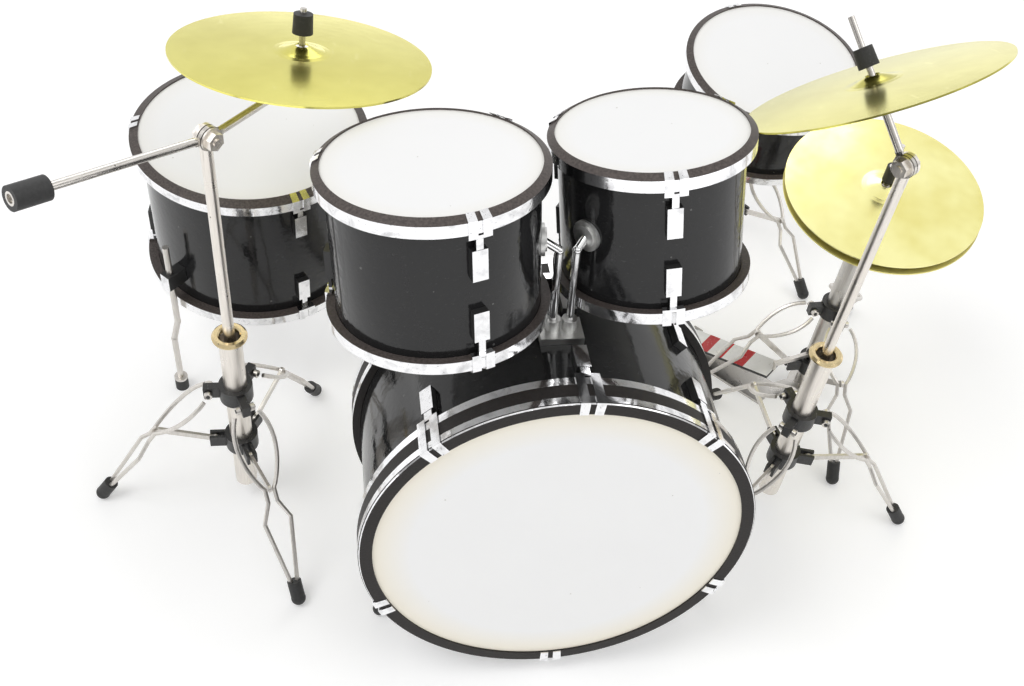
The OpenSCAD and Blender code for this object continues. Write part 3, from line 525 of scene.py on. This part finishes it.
def ring_finish(name, drum, bands, lap, board_pale):
    """bands: (start, end) of each tape, in from the drum's end; lap: how far the tape is
    folded over the end. Both in mm."""
    material, tree, shader = new_material(name)
    point, read, depth = drum_space(tree, drum)
    outside = maths(tree, "GREATER_THAN", read["Outward"], TAPE_FACES)
    around = in_bands(tree, depth, *[(start * MM, end * MM) for start, end in bands])
    at_rim = maths(tree, "GREATER_THAN", read["Radius"], drum["hoop"] - lap * MM)
    folded = maths(tree, "MULTIPLY", at_rim, maths(tree, "LESS_THAN", depth, FOLD_DEPTH))
    tape = maths(tree, "MAXIMUM", maths(tree, "MULTIPLY", around, outside), folded)
    wear = use(tree, handling, Point=point, Scale=120.0, Scratches=1.0)
    crease = noise(tree, point, scale=240.0, detail=3.0, Distortion=0.6)
    grain = noise(tree, point, scale=1500.0, detail=3.0)
    board = blend_colours(tree, grain, BOARD_DARK, board_pale)
    bright = blend_colours(tree, edge(tree, crease, start=0.5, end=0.72), TAPE_BRIGHT, TAPE_DULL)
    bright = blend_colours(tree, wear["Scratch"], bright, TAPE_SCRATCH)
    rough = blend_numbers(tree, tape, blend_numbers(tree, grain, 0.42, 0.6),
                          blend_numbers(tree, crease, 0.05, 0.16))
    tall = blend_numbers(tree, tape, grain, crease)
    set_on(shader, Base_Color=blend_colours(tree, tape, board, bright), Metallic=tape, Roughness=rough,
           Normal=bump(tree, tall, distance=0.1 * MM, strength=0.6), Specular_IOR_Level=0.3)
    return material


for name in ("tom1", "tom2", "floor", "snare"):
    dress(ring_finish(name + "_ring", drums[name], [(1.35, 4.7)], lap=0.0, board_pale=BOARD_PALE),
          name + "_hoops")
dress(ring_finish("bass_ring", drums["bass"], [(0.0, 2.65), (7.05, 9.7)], lap=0.5,
                  board_pale=BASS_BOARD_PALE), "bass_hoops")

# %% [markdown]
# ## Lugs and claws
# Each lug is a black plastic block with a chrome label on its outer face, a strip that runs to
# the hoop, and a pair of chrome straps over the ring. The faces that look outwards are chrome
# and the flanks are black, except near the ends of the drum, where the straps are bright all
# over.

# %% Lugs
LABEL_FACES = 0.8
CHROME_BRIGHT = (0.88, 0.88, 0.89, 1)
CHROME_DULL = (0.62, 0.62, 0.63, 1)
CHROME_SCRATCH = (0.4, 0.4, 0.41, 1)
STRAP_REACH = {"bass_lugs": 11.0, "tom1_lugs": 6.0, "tom2_lugs": 6.0, "floor_lugs": 6.0,
               "snare_hardware": 6.0}


def lug_finish(name, drum, strap):
    """strap: how far in from each end of the drum, in mm, everything is bright."""
    material, tree, shader = new_material(name)
    point, read, depth = drum_space(tree, drum)
    label = maths(tree, "GREATER_THAN", read["Outward"], LABEL_FACES)
    chrome = maths(tree, "MAXIMUM", label, maths(tree, "LESS_THAN", depth, strap * MM))
    wear = use(tree, handling, Point=point, Scale=150.0, Scratches=1.0)
    crease = noise(tree, point, scale=300.0)
    silver = blend_colours(tree, edge(tree, crease, start=0.48, end=0.75), CHROME_BRIGHT, CHROME_DULL)
    silver = blend_colours(tree, wear["Scratch"], silver, CHROME_SCRATCH)
    black = blend_colours(tree, crease, grey(0.01), grey(0.03))
    rough = blend_numbers(tree, chrome, 0.4, blend_numbers(tree, crease, 0.06, 0.2))
    set_on(shader, Base_Color=blend_colours(tree, chrome, black, silver), Metallic=chrome, Roughness=rough,
           Normal=bump(tree, crease, distance=0.1 * MM, strength=0.4))
    return material


for node, strap in STRAP_REACH.items():
    dress(lug_finish(node + "_finish", drums[node.split("_")[0]], strap), node)

# %% [markdown]
# ## Brass cymbals
# Each cymbal is one thin sheet of yellow brass, pressed and then turned. Its colour leans to
# green, it mirrors the black sleeve above it, and turning leaves fine rings round the centre.
# The rings are a wave of the radius, so every cymbal needs its own middle and axis. Tarnish
# spots are rare and small.

# %% Sheet brass
TURNING = 2300.0
BRASS_SCRATCH = srgb(240, 234, 170)
TARNISH = srgb(120, 98, 48)
HAT_AXIS = (-0.046, -0.119, 0.992)


def sheet_brass(piece, axis, light, dark, rough):
    material, tree, shader = new_material(piece + "_brass")
    point, read = round_space(tree, middle_of(piece), Vector(axis).normalized())
    turned = add(tree, "ShaderNodeTexNoise", noise_dimensions="1D", W=read["Radius"], Scale=TURNING,
                 Detail=2.0).outputs[0]
    pores = noise(tree, point, scale=1500.0)
    wear = use(tree, handling, Point=point, Scale=40.0, Scratches=0.2)
    spots = use(tree, specks, Point=point, Scale=120.0, Size=0.05)["Mask"]
    tone = blend_colours(tree, wear["Smudge"], srgb(*light), srgb(*dark))
    tone = blend_colours(tree, wear["Scratch"], tone, BRASS_SCRATCH)
    tone = blend_colours(tree, spots, tone, TARNISH)
    tall = total(tree, (turned, 0.6), (wear["Height"], 1.0), (pores, 0.7))
    set_on(shader, Base_Color=tone, Metallic=1.0, Roughness=blend_numbers(tree, wear["Smudge"], *rough),
           Normal=bump(tree, tall, distance=0.03 * MM, strength=0.35))
    dress(material, piece)


sheet_brass("left_cymbal", (0.079, 0.253, 0.964), (222, 215, 118), (208, 200, 102), rough=(0.18, 0.23))
sheet_brass("right_cymbal", (-0.333, 0.505, 0.796), (196, 190, 98), (189, 182, 91), rough=(0.2, 0.23))
sheet_brass("hat_top", HAT_AXIS, (252, 247, 178), (236, 227, 146), rough=(0.18, 0.24))
sheet_brass("hat_bottom", HAT_AXIS, (246, 238, 160), (236, 226, 140), rough=(0.55, 0.65))

# %% [markdown]
# ## Tubes, rods and brackets
# The stands are drawn steel tube with a satin coat, warm grey, with lines along the tube. The
# cymbal rods are smoother, the tom mount and its flanges are cast zinc without lines, and the
# rods that carry the toms are chromed. All are one recipe. The line direction is a vector that
# squeezes the noise along the tube.

# %% Satin steel
LINES_UPRIGHT = (1.0, 1.0, 0.04)
LINES_SLANTED = (0.06, 0.06, 1.0)
NO_LINES = (1.0, 1.0, 1.0)
METAL_DUST = srgb(120, 116, 110)


def steel_tones(tone, darkest):
    """The dark and the light end of a metal's grain; darkest is the dark end's share."""
    return srgb(*[int(c * darkest) for c in tone]), srgb(*tone)


def satin_steel(name, tone, lines=LINES_UPRIGHT, rough=(0.26, 0.38)):
    material, tree, shader = new_material(name)
    point = add(tree, "ShaderNodeTexCoord").outputs["Object"]
    grain = use(tree, brushed, Point=point, Stretch=lines, Scale=2600.0)
    dust = use(tree, specks, Point=point, Scale=500.0, Size=0.14)["Mask"]
    colour = blend_colours(tree, grain["Line"], *steel_tones(tone, darkest=0.86))
    set_on(shader, Base_Color=blend_colours(tree, dust, colour, METAL_DUST), Metallic=1.0,
           Roughness=blend_numbers(tree, grain["Patch"], *rough),
           Normal=bump(tree, grain["Line"], distance=0.02 * MM, strength=0.35))
    return material


dress(satin_steel("tube_steel", (246, 240, 232)),
      "left_tube", "right_tube", "left_upper", "right_upper", "snare_basket")
dress(satin_steel("hat_stand_steel", (206, 203, 198)), "hat_stand")
dress(satin_steel("rod_steel", (214, 210, 204), LINES_SLANTED, rough=(0.16, 0.3)),
      "left_boom", "right_tilter")
dress(satin_steel("cast_zinc", (232, 232, 230), NO_LINES, rough=(0.32, 0.5)),
      "tom_mount", "tom1_flange", "tom2_flange")
dress(satin_steel("bright_rod", (250, 250, 250), NO_LINES, rough=(0.1, 0.2)), "tom1_arm", "tom2_arm")

# %% [markdown]
# ## Two finishes in one solid
# A leg is bare wire that ends in a black rubber boot, and the hi-hat rod carries a black
# sleeve. In the CAD each is one node, so its material asks where it is: rubber beyond a given
# distance along the leg, or between two heights.

# %% Steel and rubber
WIRE_TONE = (230, 226, 220)
LINES_ON_WIRE = (1.0, 1.0, 0.1)
RUBBER_DARK = grey(0.012)
RUBBER_PALE = grey(0.035)
RUBBER_ROUGH = 0.55


def two_finishes(tree, shader, mask):
    """Steel where the mask is 0 and black rubber where it is 1."""
    point = add(tree, "ShaderNodeTexCoord").outputs["Object"]
    grain = use(tree, brushed, Point=point, Stretch=LINES_ON_WIRE, Scale=2400.0)
    skin = noise(tree, point, scale=1300.0, detail=3.0)
    steel = blend_colours(tree, grain["Line"], *steel_tones(WIRE_TONE, darkest=0.84))
    rubber = blend_colours(tree, skin, RUBBER_DARK, RUBBER_PALE)
    smooth = blend_numbers(tree, grain["Patch"], 0.3, 0.46)
    tall = blend_numbers(tree, mask, grain["Line"], skin)
    set_on(shader, Base_Color=blend_colours(tree, mask, steel, rubber),
           Metallic=maths(tree, "SUBTRACT", 1.0, mask),
           Roughness=blend_numbers(tree, mask, smooth, RUBBER_ROUGH),
           Normal=bump(tree, tall, distance=0.04 * MM, strength=0.4))


# %% Wire legs with rubber boots
HAT_STAND_AT = (122.5, 115.5)
FOOT_REACH = 48.5
KNEE_REACH = 27.0
FOOT_HEIGHT = 2.4
BOOT_LENGTH = 6.4
BOOTS_BELOW = 12 * MM


def booted_wire(name, x, y, knee_height):
    """Legs of the tripod that stands at x, y, all in mm. From knee to foot a leg is straight,
    so out times run less height times drop grows evenly along it, and the boot is its end."""
    material, tree, shader = new_material(name)
    _, read = round_space(tree, mm(x, y, 0))
    run = FOOT_REACH - KNEE_REACH
    drop = knee_height - FOOT_HEIGHT
    length = math.hypot(run, drop)
    out = maths(tree, "MULTIPLY", read["Radius"], run / length)
    down = maths(tree, "MULTIPLY", read["Height"], drop / length)
    boot_starts = (FOOT_REACH * run / length - FOOT_HEIGHT * drop / length - BOOT_LENGTH) * MM
    beyond = maths(tree, "GREATER_THAN", maths(tree, "SUBTRACT", out, down), boot_starts)
    low_enough = maths(tree, "LESS_THAN", read["Height"], BOOTS_BELOW)
    two_finishes(tree, shader, maths(tree, "MULTIPLY", beyond, low_enough))
    return material


dress(booted_wire("left_wire", x=-93, y=75, knee_height=36),
      *["left_" + part + "_" + letter for letter in "abc" for part in ("leg", "brace")])
dress(booted_wire("right_wire", x=91.4, y=60.7, knee_height=34), "right_legs")
dress(booted_wire("hat_wire", *HAT_STAND_AT, knee_height=31), "hat_legs")
dress(booted_wire("snare_wire", x=108, y=202, knee_height=28), "snare_stand")

# %% Rods with black ends
UNDER_GROUND = -1.0
LEG_TIP = 5.0
SPUR_TIP = 4.6
SLEEVE_STARTS = -1.0  # this and the next count up from the crown of the upper cymbal
SLEEVE_ENDS = 9.0
BARE_ROD = 1.4


def banded_rod(name, low, high, foot=Vector((0, 0, 0)), wider_than=None):
    """Black between two heights and, if wider_than is given, only outside that radius. In mm."""
    material, tree, shader = new_material(name)
    _, read = round_space(tree, foot)
    mask = in_bands(tree, read["Height"], (low * MM, high * MM))
    if wider_than:
        mask = maths(tree, "MULTIPLY", mask, maths(tree, "GREATER_THAN", read["Radius"], wider_than * MM))
    two_finishes(tree, shader, mask)
    return material


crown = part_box("hat_top")[1][2] / MM
dress(banded_rod("hat_rod_finish", crown + SLEEVE_STARTS, crown + SLEEVE_ENDS, mm(*HAT_STAND_AT, 0),
                 wider_than=BARE_ROD), "hat_rod")
dress(banded_rod("floor_leg_finish", UNDER_GROUND, LEG_TIP), "floor_legs")
dress(banded_rod("spur_finish", UNDER_GROUND, SPUR_TIP), "spur_left")
dress(banded_rod("spur_right_finish", UNDER_GROUND, SPUR_TIP), "spur_right")

# %% [markdown]
# ## Black plastic and rubber
# Collars, sliders and sleeves are moulded in black. Moulded plastic has a fine grain and a low
# sheen, and handling leaves paler hair scratches; the rubber sleeves are duller still. The
# counterweight is the same rubber round a metal core, which shows in its far end.


# %% Moulded black
def moulded_black(name, tone, rough, grain_scale):
    material, tree, shader = new_material(name)
    point = add(tree, "ShaderNodeTexCoord").outputs["Object"]
    grain = noise(tree, point, grain_scale, detail=3.0)
    wear = use(tree, handling, Point=point, Scale=160.0, Scratches=0.9)
    colour = blend_colours(tree, grain, grey(tone * 0.6), grey(tone))
    set_on(shader, Base_Color=blend_colours(tree, wear["Scratch"], colour, grey(0.12)),
           Roughness=blend_numbers(tree, wear["Smudge"], rough, rough + 0.14),
           Normal=bump(tree, grain, distance=0.06 * MM, strength=0.5))
    return material


dress(moulded_black("collar_plastic", 0.03, rough=0.32, grain_scale=1400.0), "stand_collars", "left_slider")
dress(moulded_black("sleeve_rubber", 0.02, rough=0.5, grain_scale=1900.0), "left_sleeve", "right_sleeve")

# %% Counterweight
BOOM_BACK = Vector((-0.7326, -0.6481, 0.2079)).normalized()
CORE_RADIUS = 1.75 * MM

weight_finish, tree, shader = new_material("weight_finish")
_, read = round_space(tree, middle_of("left_weight"), BOOM_BACK)
far_half = maths(tree, "GREATER_THAN", read["Height"], 0.0)
core = maths(tree, "MULTIPLY", far_half, maths(tree, "LESS_THAN", read["Radius"], CORE_RADIUS))
two_finishes(tree, shader, maths(tree, "SUBTRACT", 1.0, core))
dress(weight_finish, "left_weight")

# %% [markdown]
# ## Brass rings and the pedals
# The flanged rings on the lower tubes are polished brass. The hi-hat footboard is white with
# plain red stripes across it and a black underside and edge. The kick drum's pedal stands
# behind the drum and is bare pressed steel, with a felt beater on a rod.

# %% Rings and pressed steel
LINES_ACROSS = (0.05, 1.0, 1.0)

dress(satin_steel("ring_brass", (222, 202, 158), NO_LINES, rough=(0.16, 0.28)), "tube_rings")
dress(satin_steel("pressed_steel", (188, 186, 182), LINES_ACROSS, rough=(0.28, 0.42)),
      "kick_footboard", "kick_base")

# %% Hi-hat footboard
HEEL = mm(79.5, 136.5, 4.0)
BOARD_TURN = math.radians(-46)
BOARD_RISE = math.radians(14)
BOARD_LENGTH = 38 * MM
STRIPES = ((0.18, 0.30), (0.42, 0.47), (0.60, 0.72))
TOP_FACES = 0.7

hat_board, tree, shader = new_material("hat_board_enamel")
spin = Matrix.Rotation(BOARD_TURN, 3, "Z") @ Matrix.Rotation(-BOARD_RISE, 3, "Y")
point, facing = own_space(tree, HEEL, spin.to_euler())
along = add(tree, "ShaderNodeSeparateXYZ", Vector=point).outputs["X"]
upward = add(tree, "ShaderNodeSeparateXYZ", Vector=facing).outputs["Z"]
stripes = in_bands(tree, along, *[(start * BOARD_LENGTH, end * BOARD_LENGTH) for start, end in STRIPES])
coords = add(tree, "ShaderNodeTexCoord").outputs["Object"]
wear = use(tree, handling, Point=coords, Scale=110.0, Scratches=0.6)
white = blend_colours(tree, wear["Smudge"], (0.86, 0.86, 0.85, 1), (0.8, 0.8, 0.79, 1))
red = blend_colours(tree, wear["Smudge"], srgb(196, 38, 40), srgb(176, 32, 36))
top = blend_colours(tree, stripes, white, red)
top = blend_colours(tree, wear["Scratch"], top, (0.5, 0.48, 0.46, 1))
is_top = maths(tree, "GREATER_THAN", upward, TOP_FACES)
set_on(shader, Base_Color=blend_colours(tree, is_top, grey(0.02), top), Coat_Weight=0.2,
       Roughness=blend_numbers(tree, wear["Smudge"], 0.22, 0.4),
       Normal=bump(tree, wear["Height"], distance=0.04 * MM, strength=0.4))
dress(hat_board, "hat_footboard")

# %% Kick beater
FELT_STARTS = 0.72  # of the beater's height

beater_finish, tree, shader = new_material("beater_finish")
beater_low, beater_high = (corner[2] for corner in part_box("kick_beater"))
point = add(tree, "ShaderNodeTexCoord").outputs["Object"]
height = add(tree, "ShaderNodeSeparateXYZ", Vector=point).outputs["Z"]
is_felt = maths(tree, "GREATER_THAN", height, beater_low + FELT_STARTS * (beater_high - beater_low))
fluff = noise(tree, point, scale=1500.0, detail=4.0)
grain = use(tree, brushed, Point=point, Stretch=(1.0, 1.0, 0.05), Scale=2400.0)
steel = blend_colours(tree, grain["Line"], srgb(170, 168, 164), srgb(205, 202, 198))
felt = blend_colours(tree, fluff, srgb(120, 118, 114), srgb(176, 174, 170))
set_on(shader, Base_Color=blend_colours(tree, is_felt, steel, felt),
       Metallic=maths(tree, "SUBTRACT", 1.0, is_felt), Roughness=blend_numbers(tree, is_felt, 0.3, 0.95),
       Normal=bump(tree, fluff, distance=0.2 * MM, strength=0.5))
dress(beater_finish, "kick_beater")
print("pieces without a finish:", sorted(set(nodes) - dressed))
